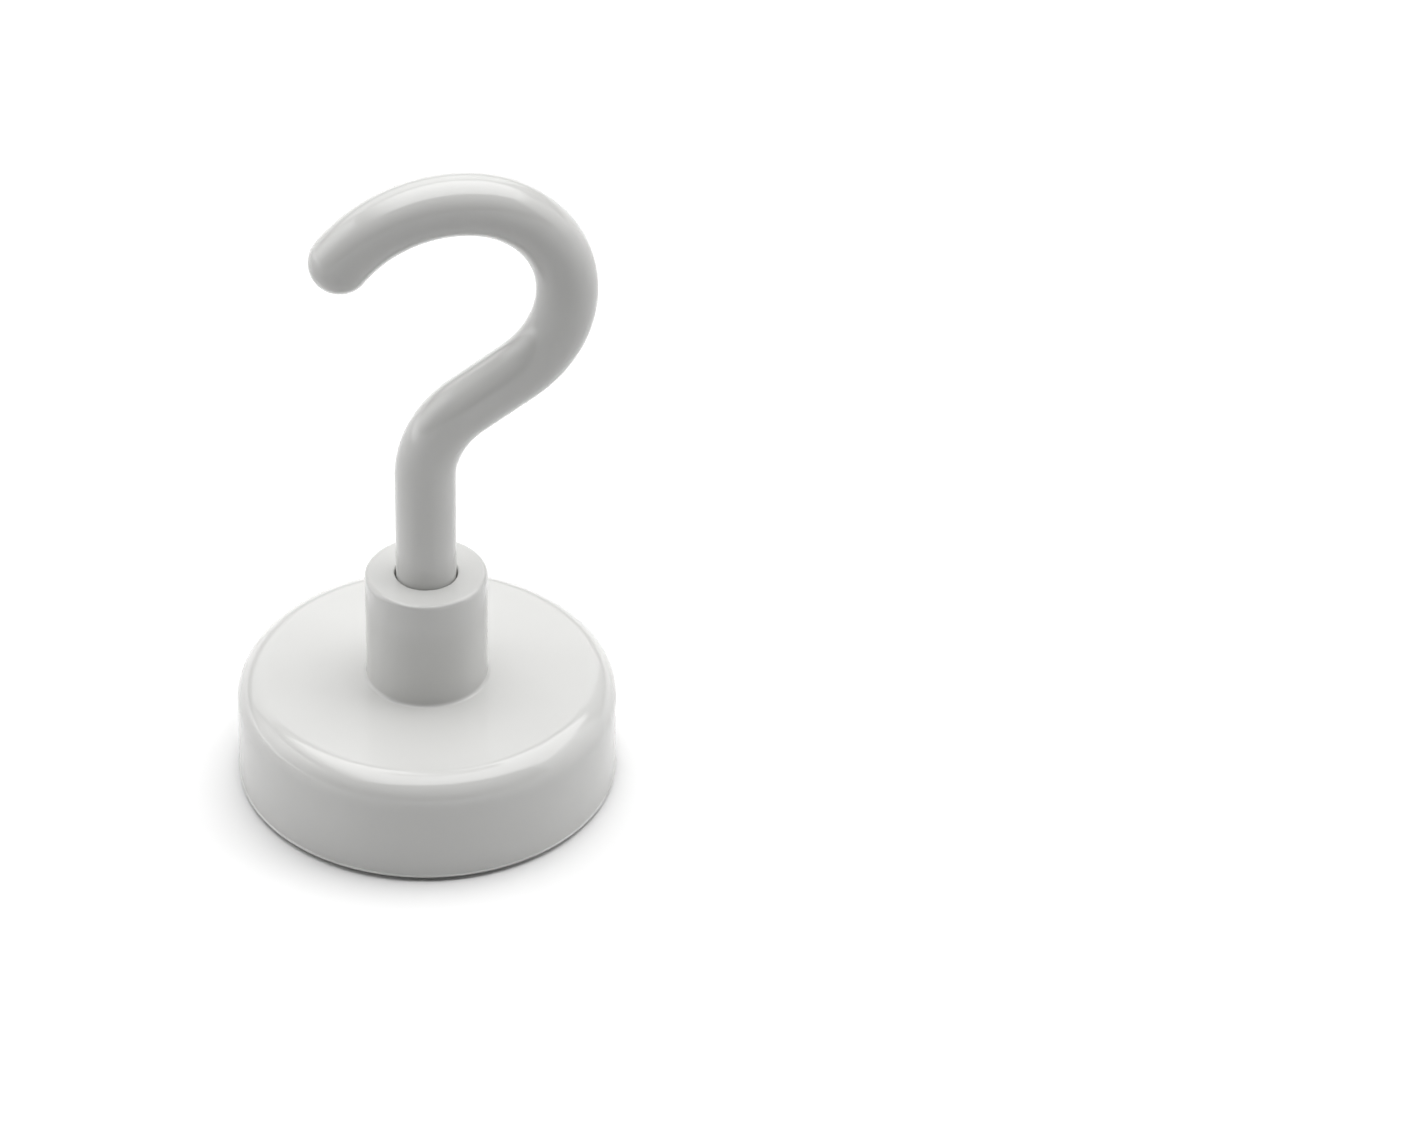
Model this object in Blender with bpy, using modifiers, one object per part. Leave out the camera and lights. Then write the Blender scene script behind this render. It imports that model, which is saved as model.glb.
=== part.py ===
"""Magnetic hook: a pot magnet with a threaded boss on its back and a screw-in question-mark hook.

Units are metres, +Z is up. The origin is the centre of the magnet face, and the hook lies in the XZ plane.
Every turned piece is a half section, drawn as corners with roundings and swept round the Z axis.
"""

import math

import bmesh
import bpy
from mathutils import Vector

MM = 0.001

# Pot, a pressed steel cup with its open side down
POT_DIAMETER = 25.0 * MM
POT_HEIGHT = 7.3 * MM
POT_WALL = 1.05 * MM
POT_FLOOR = 1.8 * MM
POT_TOP_ROUND = 1.95 * MM
POT_RIM_ROUND = 0.2 * MM
POT_INSIDE_ROUND = 0.5 * MM

# What fills the cup, from the magnet face inwards
PAD_PROUD = 0.25 * MM
PAD_THICKNESS = 0.95 * MM
PAD_EDGE_ROUND = 0.15 * MM
GROOVE_WIDTH = 0.85 * MM
FILM_THICKNESS = 0.15 * MM
FILM_INSET = 0.3 * MM
MAGNET_INSET = 0.1 * MM
MAGNET_EDGE_ROUND = 0.3 * MM
GLUE_THICKNESS = 0.15 * MM
GLUE_INSET = 0.6 * MM
RESIN_RECESS = 0.06 * MM
RESIN_DISH = 0.4 * MM

# Hook, a round rod bent in one plane
ROD_DIAMETER = 3.94 * MM
SHANK_LENGTH = 7.6 * MM
NECK_RADIUS = 6.1 * MM
NECK_ANGLE = math.radians(56.5)
NECK_RUN = 3.95 * MM
BOW_RADIUS = 6.95 * MM
BOW_ANGLE = math.radians(137.0)
LIP_RADIUS = 9.1 * MM
LIP_ANGLE = math.radians(60.6)
TIP_FLAT_SHARE = 0.12

# Boss, a turned bush with a spigot that is swaged into the cup's floor
BOSS_DIAMETER = 8.0 * MM
BOSS_HEIGHT = 8.0 * MM
BOSS_TOP_ROUND = 0.25 * MM
BORE_DEPTH = 7.3 * MM
DRILL_POINT = 0.6 * MM
MOUTH_DEPTH = 1.2 * MM
MOUTH_ROUND = 0.1 * MM
SPIGOT_DIAMETER = 5.0 * MM
SWAGE_WIDTH = 0.9 * MM

# Thread, drawn as rings, which let the hook turn without climbing
THREAD_PITCH = 0.7 * MM
THREAD_DEPTH = 0.4 * MM
THREAD_RELIEF = 0.05 * MM
THREAD_START = 0.5 * MM

# Clearances
MOUTH_CLEARANCE = 0.13 * MM
THREAD_CLEARANCE = 0.1 * MM
THREAD_END_CLEARANCE = 0.3 * MM
SHOULDER_CLEARANCE = 0.15 * MM
SPIGOT_CLEARANCE = 0.05 * MM
RESIN_CLEARANCE = 0.05 * MM
SEAT_CLEARANCE = 0.02 * MM

# Facets
ROUND_STEPS = 48
CORNER_STEPS = 3
LARGE_CORNER_STEPS = 8
ROD_BEVEL_RESOLUTION = 10
NECK_STEPS = 9
BOW_STEPS = 22
LIP_STEPS = 9
TIP_STEPS = 6
SHARP_ANGLE = math.radians(35.0)
MERGE_DISTANCE = 0.001 * MM

# Levels and radii that several pieces share
RIM_Z = PAD_PROUD
POT_TOP_Z = RIM_Z + POT_HEIGHT
POT_CEILING_Z = POT_TOP_Z - POT_FLOOR
POT_RADIUS = POT_DIAMETER / 2
POT_BORE_RADIUS = POT_RADIUS - POT_WALL
PAD_RADIUS = POT_BORE_RADIUS - GROOVE_WIDTH
MAGNET_RADIUS = PAD_RADIUS - MAGNET_INSET
FILM_Z = PAD_THICKNESS + SEAT_CLEARANCE
MAGNET_Z = FILM_Z + FILM_THICKNESS + SEAT_CLEARANCE
GLUE_TOP_Z = POT_CEILING_Z - SEAT_CLEARANCE
MAGNET_TOP_Z = GLUE_TOP_Z - GLUE_THICKNESS - SEAT_CLEARANCE
BOSS_FOOT_Z = POT_TOP_Z + SEAT_CLEARANCE
BOSS_TOP_Z = BOSS_FOOT_Z + BOSS_HEIGHT
BOSS_RADIUS = BOSS_DIAMETER / 2
SPIGOT_RADIUS = SPIGOT_DIAMETER / 2
ROD_RADIUS = ROD_DIAMETER / 2
MOUTH_RADIUS = ROD_RADIUS + MOUTH_CLEARANCE
MOUTH_FLOOR_Z = BOSS_TOP_Z - MOUTH_DEPTH
BORE_FLOOR_Z = BOSS_TOP_Z - BORE_DEPTH
THREAD_FLOOR_Z = BORE_FLOOR_Z + DRILL_POINT + THREAD_START
SHOULDER_Z = MOUTH_FLOOR_Z + SHOULDER_CLEARANCE
CREST_RADIUS = ROD_RADIUS - THREAD_RELIEF
ROOT_RADIUS = CREST_RADIUS - THREAD_DEPTH


def clear_scene():
    for obj in list(bpy.data.objects):
        bpy.data.objects.remove(obj, do_unlink=True)


def new_collection(name):
    collection = bpy.data.collections.new(name)
    bpy.context.scene.collection.children.link(collection)
    return collection


def new_material(name, color, roughness, metallic):
    material = bpy.data.materials.new(name)
    material.use_nodes = True
    shader = material.node_tree.nodes["Principled BSDF"]
    shader.inputs["Base Color"].default_value = (*color, 1.0)
    shader.inputs["Roughness"].default_value = roughness
    shader.inputs["Metallic"].default_value = metallic
    material.diffuse_color = (*color, 1.0)
    return material


def corner_arc(before, corner, after, radius, steps):
    """Points of the arc of this radius that touches both sides of a corner."""
    back = (before - corner).normalized()
    ahead = (after - corner).normalized()
    half = back.angle(ahead) / 2
    centre = corner + (back + ahead).normalized() * (radius / math.sin(half))
    first = corner + back * (radius / math.tan(half)) - centre
    last = corner + ahead * (radius / math.tan(half)) - centre
    turn = first.angle_signed(last)
    points = []
    for step in range(steps + 1):
        angle = -turn * step / steps
        cosine, sine = math.cos(angle), math.sin(angle)
        points.append(centre + Vector((first.x * cosine - first.y * sine, first.x * sine + first.y * cosine)))
    return points


def outline(corners, closed):
    """(radius, height) points of a half section whose corners are (radius, height) or (..., rounding, steps)."""
    places = [Vector(corner[:2]) for corner in corners]
    points = []
    for index, corner in enumerate(corners):
        at_end = index in (0, len(corners) - 1)
        if len(corner) == 2 or (at_end and not closed):
            points.append(places[index])
            continue
        before = places[index - 1]
        after = places[(index + 1) % len(corners)]
        points += corner_arc(before, places[index], after, *corner[2:])
    return points


def turned(name, corners, material, collection, closed=True):
    """A piece swept round the Z axis. Its half section runs down its outer side."""
    points = outline(corners, closed)
    mesh = bpy.data.meshes.new(name)
    edges = [(index, index + 1) for index in range(len(points) - 1)]
    if closed:
        edges.append((len(points) - 1, 0))
    mesh.from_pydata([(point.x, 0.0, point.y) for point in points], edges, [])
    section = bpy.data.objects.new(name + "_section", mesh)
    collection.objects.link(section)
    screw = section.modifiers.new("Turn", "SCREW")
    screw.axis = "Z"
    screw.steps = ROUND_STEPS
    screw.render_steps = ROUND_STEPS
    screw.use_merge_vertices = True
    screw.merge_threshold = MERGE_DISTANCE
    graph = bpy.context.evaluated_depsgraph_get()
    solid = bpy.data.meshes.new_from_object(section.evaluated_get(graph))
    bpy.data.objects.remove(section, do_unlink=True)
    return finished(name, solid, material, collection)


def finished(name, mesh, material, collection):
    """An object of this mesh, with smooth round faces and its material."""
    mesh.name = name
    mesh.materials.clear()
    mesh.materials.append(material)
    mesh.shade_smooth()
    mesh.set_sharp_from_angle(angle=SHARP_ANGLE)
    obj = bpy.data.objects.new(name, mesh)
    collection.objects.link(obj)
    return obj


def disc_corners(radius, bottom, top, edge_round=0):
    """Half section of a disc, with both edges rounded alike."""
    edge = (edge_round, CORNER_STEPS) if edge_round else ()
    return [(0, top), (radius, top, *edge), (radius, bottom, *edge), (0, bottom)]


def thread_rings(bottom, low_radius, high_radius):
    """(radius, height) up a thread from its lowest whole pitch to the mouth's floor, high halfway between pitches."""
    turns = int((MOUTH_FLOOR_Z - bottom) / THREAD_PITCH)
    rings = []
    for turn in range(turns, 0, -1):
        rings.append((low_radius, MOUTH_FLOOR_Z - turn * THREAD_PITCH))
        rings.append((high_radius, MOUTH_FLOOR_Z - (turn - 1 / 2) * THREAD_PITCH))
    return rings + [(low_radius, MOUTH_FLOOR_Z)]


def make_pot_shell(paint, collection):
    hole = SPIGOT_RADIUS + SPIGOT_CLEARANCE
    countersink = hole + SWAGE_WIDTH
    corners = [
        (hole, POT_TOP_Z),
        (POT_RADIUS, POT_TOP_Z, POT_TOP_ROUND, LARGE_CORNER_STEPS),
        (POT_RADIUS, RIM_Z, POT_RIM_ROUND, CORNER_STEPS),
        (POT_BORE_RADIUS, RIM_Z, POT_RIM_ROUND, CORNER_STEPS),
        (POT_BORE_RADIUS, POT_CEILING_Z, POT_INSIDE_ROUND, CORNER_STEPS),
        (countersink, POT_CEILING_Z),
        (hole, POT_CEILING_Z + SWAGE_WIDTH),
    ]
    return turned("pot_shell", corners, paint, collection)


def make_threaded_boss(paint, collection):
    # The boss's thread keeps one clearance outside the hook's thread, ring for ring.
    low_radius = ROOT_RADIUS + THREAD_CLEARANCE
    high_radius = CREST_RADIUS + THREAD_CLEARANCE
    corners = [
        (0, BORE_FLOOR_Z),
        (low_radius, BORE_FLOOR_Z + DRILL_POINT),
        *thread_rings(THREAD_FLOOR_Z, low_radius, high_radius),
        (MOUTH_RADIUS, MOUTH_FLOOR_Z),
        (MOUTH_RADIUS, BOSS_TOP_Z, MOUTH_ROUND, CORNER_STEPS),
        (BOSS_RADIUS, BOSS_TOP_Z, BOSS_TOP_ROUND, CORNER_STEPS),
        (BOSS_RADIUS, BOSS_FOOT_Z),
        (SPIGOT_RADIUS, BOSS_FOOT_Z),
        (SPIGOT_RADIUS, POT_CEILING_Z + SWAGE_WIDTH),
        (SPIGOT_RADIUS + SWAGE_WIDTH, POT_CEILING_Z),
        (0, POT_CEILING_Z),
    ]
    return turned("threaded_boss", corners, paint, collection, closed=False)


def make_magnet_stack(nickel, glue, collection):
    magnet = disc_corners(MAGNET_RADIUS, MAGNET_Z, MAGNET_TOP_Z, MAGNET_EDGE_ROUND)
    turned("magnet_disc", magnet, nickel, collection, closed=False)
    glue_radius = MAGNET_RADIUS - GLUE_INSET
    layer = disc_corners(glue_radius, GLUE_TOP_Z - GLUE_THICKNESS, GLUE_TOP_Z)
    turned("magnet_glue", layer, glue, collection, closed=False)


def make_face_pad(rubber, film, collection):
    pad = disc_corners(PAD_RADIUS, 0, PAD_THICKNESS, PAD_EDGE_ROUND)
    turned("face_pad", pad, rubber, collection, closed=False)
    adhesive = disc_corners(PAD_RADIUS - FILM_INSET, FILM_Z, FILM_Z + FILM_THICKNESS)
    turned("pad_adhesive", adhesive, film, collection, closed=False)


def make_resin_ring(resin, collection):
    """The filled groove. The resin climbs the cup's wall in a meniscus, drawn as a parabola that is flat at the pad."""
    inner = PAD_RADIUS + RESIN_CLEARANCE
    outer = POT_BORE_RADIUS - RESIN_CLEARANCE
    wall_z = RIM_Z + POT_RIM_ROUND + RESIN_RECESS
    top_z = POT_CEILING_Z - POT_INSIDE_ROUND
    corners = [(inner, top_z), (outer, top_z)]
    for step in range(LARGE_CORNER_STEPS + 1):
        across = 1 - step / LARGE_CORNER_STEPS
        radius = inner + across * (outer - inner)
        corners.append((radius, wall_z + RESIN_DISH * (1 - across**2)))
    return turned("resin_ring", corners, resin, collection)


def arc_path(points, heading, radius, angle, steps):
    """Carries a path of (place, width share) points round an arc, to the left for a positive angle."""
    start = points[-1][0]
    side = math.copysign(1, angle)
    centre = start + Vector((-math.sin(heading), math.cos(heading))) * (radius * side)
    for step in range(1, steps + 1):
        turn = heading + angle * step / steps
        place = centre + Vector((math.sin(turn), -math.cos(turn))) * (radius * side)
        points.append((place, 1))
    return heading + angle


def tip_path(points, heading):
    """Ends the rod in a hemisphere: the rings' radii are those of a ball, down to a very small flat."""
    centre = points[-1][0]
    ahead = Vector((math.cos(heading), math.sin(heading)))
    last = math.acos(TIP_FLAT_SHARE)
    for step in range(1, TIP_STEPS + 1):
        angle = last * step / TIP_STEPS
        points.append((centre + ahead * (ROD_RADIUS * math.sin(angle)), math.cos(angle)))


def hook_path():
    """(place in the XZ plane, share of the rod's radius) from the threaded end up to the tip."""
    rings = thread_rings(THREAD_FLOOR_Z + THREAD_END_CLEARANCE, ROOT_RADIUS, CREST_RADIUS)
    rings.append((ROOT_RADIUS, SHOULDER_Z))
    rings.append((ROD_RADIUS, SHOULDER_Z + ROD_RADIUS - ROOT_RADIUS))
    points = [(Vector((0, height)), radius / ROD_RADIUS) for radius, height in rings]
    heading = math.radians(90.0)
    points.append((Vector((0, BOSS_TOP_Z + SHANK_LENGTH)), 1))
    heading = arc_path(points, heading, NECK_RADIUS, -NECK_ANGLE, NECK_STEPS)
    run_end = points[-1][0] + Vector((math.cos(heading), math.sin(heading))) * NECK_RUN
    points.append((run_end, 1))
    heading = arc_path(points, heading, BOW_RADIUS, BOW_ANGLE, BOW_STEPS)
    heading = arc_path(points, heading, LIP_RADIUS, LIP_ANGLE, LIP_STEPS)
    tip_path(points, heading)
    return points


def make_threaded_hook(paint, collection):
    path = hook_path()
    curve = bpy.data.curves.new("threaded_hook", "CURVE")
    curve.dimensions = "3D"
    curve.bevel_depth = ROD_RADIUS
    curve.bevel_resolution = ROD_BEVEL_RESOLUTION
    curve.use_fill_caps = True
    spline = curve.splines.new("POLY")
    spline.points.add(len(path) - 1)
    for point, (place, width_share) in zip(spline.points, path):
        point.co = (place.x, 0.0, place.y - BOSS_TOP_Z, 1.0)
        point.radius = width_share
    rod = bpy.data.objects.new("threaded_hook_rod", curve)
    collection.objects.link(rod)
    graph = bpy.context.evaluated_depsgraph_get()
    mesh = bpy.data.meshes.new_from_object(rod.evaluated_get(graph))
    bpy.data.objects.remove(rod, do_unlink=True)
    welded = bmesh.new()
    welded.from_mesh(mesh)
    bmesh.ops.remove_doubles(welded, verts=welded.verts, dist=MERGE_DISTANCE)
    welded.to_mesh(mesh)
    welded.free()
    hook = finished("threaded_hook", mesh, paint, collection)
    axis = bpy.data.objects.new("hook_turn_axis", None)
    axis.location = (0, 0, BOSS_TOP_Z)
    collection.objects.link(axis)
    hook.parent = axis
    return hook


def main():
    clear_scene()
    parts = new_collection("magnetic_hook")
    paint = new_material("white_paint", (0.82, 0.82, 0.81), 0.25, 0.0)
    nickel = new_material("nickel_plate", (0.66, 0.62, 0.56), 0.2, 1.0)
    rubber = new_material("black_pad", (0.017, 0.017, 0.016), 0.75, 0.0)
    resin = new_material("black_resin", (0.01, 0.01, 0.01), 0.12, 0.0)
    glue = new_material("clear_glue", (0.55, 0.5, 0.38), 0.35, 0.0)
    film = new_material("adhesive_film", (0.75, 0.75, 0.72), 0.5, 0.0)
    make_pot_shell(paint, parts)
    make_threaded_boss(paint, parts)
    make_threaded_hook(paint, parts)
    make_magnet_stack(nickel, glue, parts)
    make_resin_ring(resin, parts)
    make_face_pad(rubber, film, parts)


main()
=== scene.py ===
"""Looks of the magnetic hook: finely meshed pieces and their finishes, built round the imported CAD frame.

Every new piece is a surface of two parameters worked out with numpy. Units are metres and +Z is up. The
magnet face lies on z = 0, and the hook is bent in the XZ plane.
"""

import math
from collections import namedtuple

import bpy
import numpy as np
from bpy.props import FloatProperty, FloatVectorProperty, PointerProperty
from mathutils import Matrix, Vector


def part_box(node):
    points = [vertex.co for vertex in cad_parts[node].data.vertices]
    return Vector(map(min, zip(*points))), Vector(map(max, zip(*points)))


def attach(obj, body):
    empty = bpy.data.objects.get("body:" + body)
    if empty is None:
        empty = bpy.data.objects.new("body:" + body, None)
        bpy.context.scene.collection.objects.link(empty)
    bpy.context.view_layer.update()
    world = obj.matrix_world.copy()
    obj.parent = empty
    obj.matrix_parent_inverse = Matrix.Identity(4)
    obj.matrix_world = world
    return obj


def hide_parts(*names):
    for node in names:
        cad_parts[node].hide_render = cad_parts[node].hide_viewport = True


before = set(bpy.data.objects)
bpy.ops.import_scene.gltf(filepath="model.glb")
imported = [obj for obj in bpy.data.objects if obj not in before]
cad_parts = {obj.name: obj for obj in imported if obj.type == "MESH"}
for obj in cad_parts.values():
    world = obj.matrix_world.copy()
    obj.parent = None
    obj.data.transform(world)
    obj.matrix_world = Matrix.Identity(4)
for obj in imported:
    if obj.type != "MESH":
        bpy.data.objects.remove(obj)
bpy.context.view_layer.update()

bl_info = {
    "name": "Magnetic hook",
    "version": (1, 0, 0),
    "blender": (4, 5, 0),
    "location": "3D View > Sidebar > Magnetic hook",
    "description": "Builds the pieces, the finishes and the studio of a pot-magnet hook",
    "category": "Object",
}

MM = 0.001
FULL_TURN = 2 * math.pi
BASE = "base"
HOOK = "hook"

# Places that the CAD fixes
POT_LOW, POT_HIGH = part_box("pot_shell")
PAD_LOW, PAD_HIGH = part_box("face_pad")
RESIN_LOW, RESIN_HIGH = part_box("resin_ring")
_, BOSS_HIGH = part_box("threaded_boss")

# Mesh fineness
ROUND_STEPS = 256
ROD_STEPS = 112
ARC_STEPS = 18
SIDE_STEPS = 14
SHORT_SIDE = 0.8 * MM
PATH_STEP = 0.13 * MM
TIP_STEPS = 26
PAD_CELLS = 240
PAD_ARC_STEPS = 6
SHARP_ANGLE = math.radians(32)
TINY = MM / 1000

# Waves round a circle, as (count, share, phase)
MOUTH_WAVES = ((2, 1.0, 2.4), (5, 0.6, 0), (13, 0.5, 1), (29, 0.4, 2), (47, 0.3, 0))
RESIN_WAVES = ((3, 1.0, 1), (7, 0.7, 2), (16, 0.4, 0), (37, 0.2, 0))

# The lamps of the studio. brightness names the lamp's value in the Studio settings, and fade is the share of
# its width over which it fades out towards each end.
Softbox = namedtuple("Softbox", "name brightness place facing width height fade")
SOFTBOXES = (
    Softbox("top_softbox", "top", (0.42, -0.115, 1.5), (0, 0, -1), 3.5, 0.98, 0.25),
    Softbox("rear_softbox", "rear", (0.42, 0.71, 1.5), (0, 0, -1), 3.5, 0.67, 0.25),
    Softbox("left_panel", "left", (-1.5, 0.6, 0.75), (1, 0, 0), 2.6, 1.5, 0.5),
    Softbox("right_panel", "right", (1.5, -0.2, 0.85), (-1, 0, 0), 1.3, 1.3, 0),
    Softbox("back_panel", "back", (0, 1.5, 1.1), (0, -1, 0), 2.6, 1.0, 0),
)

# The floor lies a little under the pad, so that the slit under the cup's rim shows. The light that it bounces
# falls off between the two distances from the object.
FLOOR_REACH = 1.4
FLOOR_DROP = 0.17 * MM
FLOOR_NEAR, FLOOR_FAR = 0.03, 0.16

# Height on the unit sphere of directions up to which the backdrop reaches
BACKDROP_TOP = 0.12


def linear(code):
    """The linear colour of an sRGB hex value."""
    share = np.array([int(code[i : i + 2], 16) for i in (1, 3, 5)]) / 255
    value = np.where(share <= 0.04045, share / 12.92, ((share + 0.055) / 1.055) ** 2.4)
    return tuple(float(v) for v in value)


def length(name, description, default):
    """A property for a size in metres."""
    return FloatProperty(
        name=name,
        description=description,
        default=default,
        min=0.0,
        precision=5,
        unit="LENGTH",
        subtype="DISTANCE",
    )


def angle(name, description, degrees):
    """A property for an angle, given in degrees."""
    return FloatProperty(name=name, description=description, default=math.radians(degrees), unit="ROTATION")


def colour(name, description, code):
    """A property for a colour, given as an sRGB hex value."""
    return FloatVectorProperty(
        name=name, description=description, default=linear(code), min=0.0, max=1.0, size=3, subtype="COLOR"
    )


def brightness(name, description, default):
    """A property for how bright a lamp or a backdrop is."""
    return FloatProperty(name=name, description=description, default=default, min=0.0)


class PotSizes(bpy.types.PropertyGroup):
    """The pressed cup."""

    radius: length("Radius", "Outer radius of the cup", POT_HIGH.x)
    wall: length("Wall", "Thickness of the cup's wall", 1.05 * MM)
    floor: length("Floor", "Thickness of the cup's floor", 1.8 * MM)
    top_round: length("Top rounding", "Drawn rounding between the floor and the wall", 1.95 * MM)
    rim_round: length("Rim rounding", "Rounding of the cup's open rim", 0.3 * MM)
    inside_round: length("Inside rounding", "Rounding inside, between the floor and the wall", 0.5 * MM)
    bead: length("Bead", "How far the thick paint round the rim stands out from the wall", 0.08 * MM)
    bead_height: length("Bead height", "Height of the bead of thick paint", 0.14 * MM)
    bead_drop: length("Bead drop", "How far the bead hangs below the cup's rim", 0.056 * MM)


class BossSizes(bpy.types.PropertyGroup):
    """The threaded bush on the cup."""

    radius: length("Radius", "Outer radius of the boss", BOSS_HIGH.x)
    top_round: length("Top rounding", "Rounding of the boss's outer top edge", 0.32 * MM)
    mouth_round: length("Mouth rounding", "Rounding of the edge of the hole", 0.12 * MM)
    mouth_radius: length("Mouth radius", "Radius of the plain counterbore at the top of the hole", 2.04 * MM)
    mouth_wave: length("Mouth wave", "How far the painted edge of the hole wanders out and in", 0.03 * MM)
    wave_reach: length("Wave reach", "Distance from the hole's edge at which its waves die out", 0.4 * MM)
    mouth_depth: length("Mouth depth", "Depth of the plain counterbore", 1.2 * MM)
    bore_depth: length("Bore depth", "Depth of the threaded hole", 7.3 * MM)
    drill_point: length("Drill point", "Height of the cone at the bottom of the hole", 0.6 * MM)
    spigot_radius: length("Spigot radius", "Radius of the spigot in the cup's floor", 2.5 * MM)
    swage: length("Swage", "Width and height of the spigot's swaged edge", 0.9 * MM)
    foot_fillet: length("Foot fillet", "Radius of the paint in the corner at the boss's foot", 0.25 * MM)
    film: length("Paint film", "Thickness of the paint where the foot fillet runs out", 0.005 * MM)


class ThreadSizes(bpy.types.PropertyGroup):
    """The M4 thread, drawn as rings."""

    pitch: length("Pitch", "Distance between two rings", 0.7 * MM)
    crest: length("Crest radius", "Outer radius of the hook's thread", 1.92 * MM)
    root: length("Root radius", "Inner radius of the hook's thread", 1.52 * MM)
    clearance: length("Clearance", "Room between the hook's thread and the boss's", 0.1 * MM)
    start: length("Start", "Plain length above the drill point", 0.5 * MM)
    end_clearance: length("End clearance", "Room under the hook's end", 0.3 * MM)
    shoulder: length("Shoulder clearance", "Room between the counterbore's floor and the shoulder", 0.15 * MM)


class RodSizes(bpy.types.PropertyGroup):
    """The bent rod."""

    radius: length("Radius", "Radius of the rod", 1.97 * MM)
    shank: length("Shank", "Straight length above the boss", 7.6 * MM)
    neck_radius: length("Neck radius", "Radius of the first bend, at the rod's centre line", 6.1 * MM)
    neck_angle: angle("Neck angle", "Turn of the first bend", 56.5)
    neck_run: length("Neck run", "Straight length between the first bend and the bow", 3.95 * MM)
    bow_radius: length("Bow radius", "Radius of the bow, at the rod's centre line", 6.95 * MM)
    bow_angle: angle("Bow angle", "Turn of the bow", 137.0)
    lip_radius: length("Lip radius", "Radius of the wider bend before the tip", 9.1 * MM)
    lip_angle: angle("Lip angle", "Turn of the wider bend before the tip", 60.6)


class PadSizes(bpy.types.PropertyGroup):
    """The round grained pad and the resin round it."""

    radius: length("Radius", "Radius of the pad", PAD_HIGH.x)
    thickness: length("Thickness", "Thickness of the pad", PAD_HIGH.z - PAD_LOW.z)
    edge_round: length("Edge rounding", "Rounding of the pad's edges", 0.12 * MM)
    grain: length("Grain size", "Width of one wrinkle of the pressed grain", 0.34 * MM)
    grain_depth: length("Grain depth", "Depth of the valleys of the grain", 0.04 * MM)
    meniscus_top: length("Meniscus height", "Level of the resin where it meets the cup's wall", RESIN_LOW.z)
    meniscus_depth: length("Meniscus depth", "How far the resin falls from the wall to the pad", 0.4 * MM)
    resin_wave: length("Resin wave", "Height of the slow waves along the resin", 0.012 * MM)


class Colours(bpy.types.PropertyGroup):
    """Colours of the finishes."""

    paint: colour("Paint", "White powder coat", "#DCDCDA")
    rubber: colour("Pad", "Black rubber pad", "#20201F")
    resin: colour("Resin", "Black cast epoxy", "#0B0B0C")
    zinc: colour("Zinc", "Zinc plate of the threads", "#C6C8CA")
    nickel: colour("Nickel", "Nickel plate of the magnet", "#C9C3B8")
    glue: colour("Glue", "Cured magnet adhesive", "#C7B98F")
    film: colour("Film", "Double-sided adhesive film", "#DEDCD2")
    floor: colour("Floor", "Floor under the object, as it bounces light", "#D1D1D1")
    far_floor: colour("Far floor", "Floor away from the object, as it bounces light", "#808080")


class Studio(bpy.types.PropertyGroup):
    """Brightness of the lamps and of the dim room, where 1 is white."""

    top: brightness("Top softbox", "The softbox overhead", 2.72)
    rear: brightness("Rear softbox", "The weaker softbox overhead and to the rear", 2.75)
    left: brightness("Left panel", "The panel on the left", 1.65)
    right: brightness("Right panel", "The panel on the right", 1.05)
    back: brightness("Back panel", "The panel behind", 0.93)
    room: brightness("Room", "The dim room", 0.02)
    backdrop: brightness("Backdrop", "The backdrop behind the floor, as it lights the object", 0.4)


class HookSettings(bpy.types.PropertyGroup):
    """All that a user may change."""

    pot: PointerProperty(type=PotSizes)
    boss: PointerProperty(type=BossSizes)
    thread: PointerProperty(type=ThreadSizes)
    rod: PointerProperty(type=RodSizes)
    pad: PointerProperty(type=PadSizes)
    colours: PointerProperty(type=Colours)
    studio: PointerProperty(type=Studio)


# Surfaces


def mesh_object(name, points, faces, material):
    """An object at the origin over points and faces, smooth but for its sharp edges."""
    mesh = bpy.data.meshes.new(name)
    mesh.from_pydata(points.tolist(), [], faces)
    mesh.shade_smooth()
    mesh.set_sharp_from_angle(angle=SHARP_ANGLE)
    mesh.materials.append(material)
    piece = bpy.data.objects.new(name, mesh)
    bpy.context.scene.collection.objects.link(piece)
    return piece


def band(lower, upper):
    """Quads between two rings of point numbers, or between two stacks of rings."""
    return np.stack([lower, np.roll(lower, -1, -1), np.roll(upper, -1, -1), upper], axis=-1).reshape(-1, 4)


def skin(name, grid, material, closed=False, first_pole=None, last_pole=None):
    """A piece over a grid of points whose rows are rings, in order from its lower end.

    closed joins the last ring to the first. A pole is the one point that closes the first or the last ring.
    """
    rings, around, _ = grid.shape
    number = np.arange(rings * around).reshape(rings, around)
    points = grid.reshape(-1, 3)
    faces = band(number[:-1], number[1:]).tolist()
    if closed:
        faces += band(number[-1], number[0]).tolist()
    if first_pole is not None:
        tip = np.full(around, len(points))
        faces += np.stack([np.roll(number[0], -1), number[0], tip], axis=-1).tolist()
        points = np.vstack([points, first_pole])
    if last_pole is not None:
        tip = np.full(around, len(points))
        faces += np.stack([number[-1], np.roll(number[-1], -1), tip], axis=-1).tolist()
        points = np.vstack([points, last_pole])
    return mesh_object(name, points, faces, material)


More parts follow.
